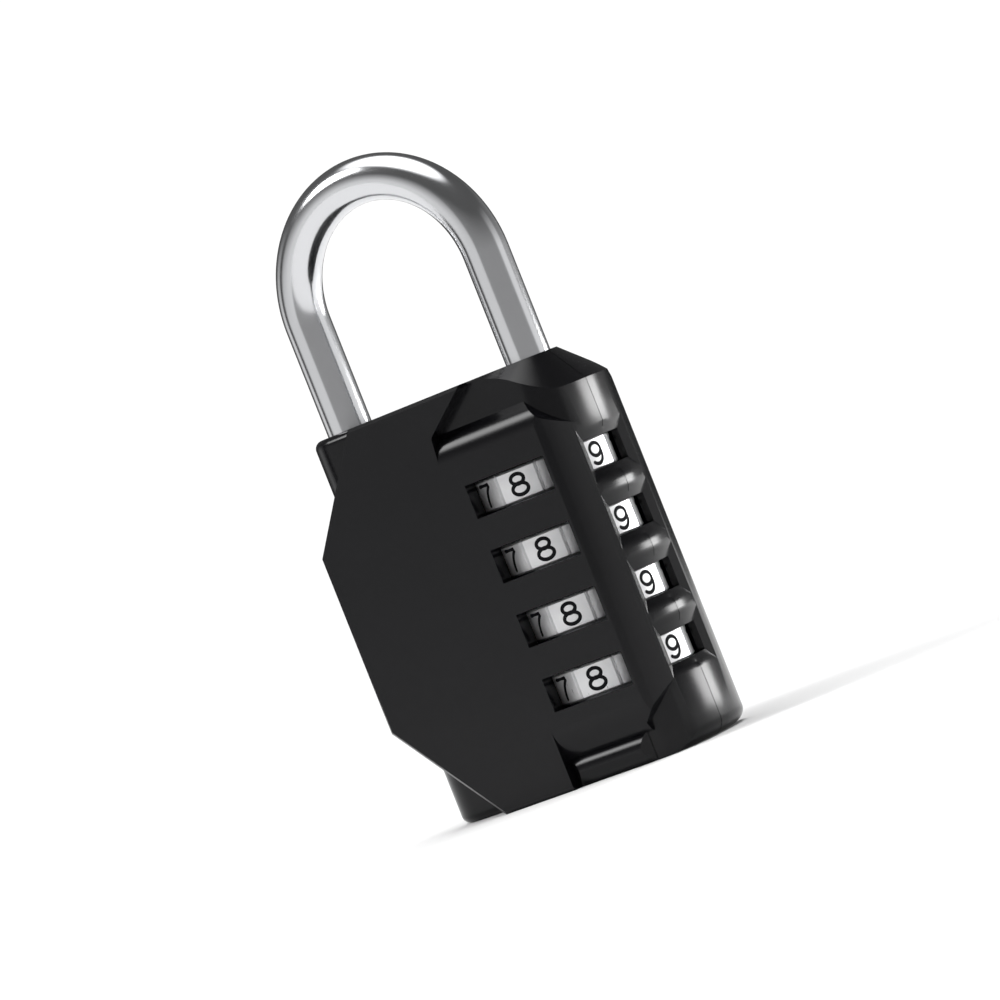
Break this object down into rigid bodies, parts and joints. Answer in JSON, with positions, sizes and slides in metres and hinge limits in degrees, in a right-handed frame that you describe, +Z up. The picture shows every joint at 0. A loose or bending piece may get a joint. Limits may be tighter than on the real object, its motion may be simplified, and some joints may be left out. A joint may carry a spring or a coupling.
{
  "type": "combination padlock",
  "caption": "Keyless padlock: two-shell metal casing with turning number dials in side and front windows and a round shackle that lifts when the code is set.",
  "frame": {"origin": "centre of the whole lock's footprint, on the surface that the casing stands on", "axes": "+Z up along the shackle's travel, +X towards the dials, the front face looks along -Y"},
  "size_m": [0.0438, 0.022, 0.0904],
  "materials": {
    "casing": "satin black lacquer on die-cast zinc",
    "shackle_chrome": "polished chrome on hardened steel",
    "dial_nickel": "satin nickel plate with black filled numerals",
    "steel": "plain steel",
    "spring_steel": "oiled spring steel",
    "brass": "turned brass"
  },
  "bodies": {
    "case": {"front_shell": "casing", "back_shell": "casing", "assembly_pins": "steel", "spindle_bush": "brass", "spring_plug": "brass", "lift_spring": "spring_steel", "detent_leaf": "spring_steel", "leaf_rivets": "steel", "dial_washers": "spring_steel"},
    "shackle": {"shackle": "shackle_chrome", "lifter_plate": "steel", "spindle": "steel", "spindle_clip": "spring_steel", "spring_cap": "brass"},
    "dial_1": {"dial_1": "dial_nickel", "hub_1": "brass"},
    "dial_2": {"dial_2": "dial_nickel", "hub_2": "brass"},
    "dial_3": {"dial_3": "dial_nickel", "hub_3": "brass"},
    "dial_4": {"dial_4": "dial_nickel", "hub_4": "brass"}
  },
  "joints": [
    {"name": "shackle_lift", "type": "slide", "parent": "case", "child": "shackle", "axis": [0, 0, 1], "range_m": [0, 0.0065], "deforming": ["lift_spring"]},
    {"name": "dial_1_turn", "type": "hinge", "parent": "case", "child": "dial_1", "pos_m": [0.01045, 0, 0.04105], "axis": [0, 0, 1], "continuous": true},
    {"name": "dial_2_turn", "type": "hinge", "parent": "case", "child": "dial_2", "pos_m": [0.01045, 0, 0.03175], "axis": [0, 0, 1], "continuous": true},
    {"name": "dial_3_turn", "type": "hinge", "parent": "case", "child": "dial_3", "pos_m": [0.01045, 0, 0.02245], "axis": [0, 0, 1], "continuous": true},
    {"name": "dial_4_turn", "type": "hinge", "parent": "case", "child": "dial_4", "pos_m": [0.01045, 0, 0.01315], "axis": [0, 0, 1], "continuous": true}
  ]
}
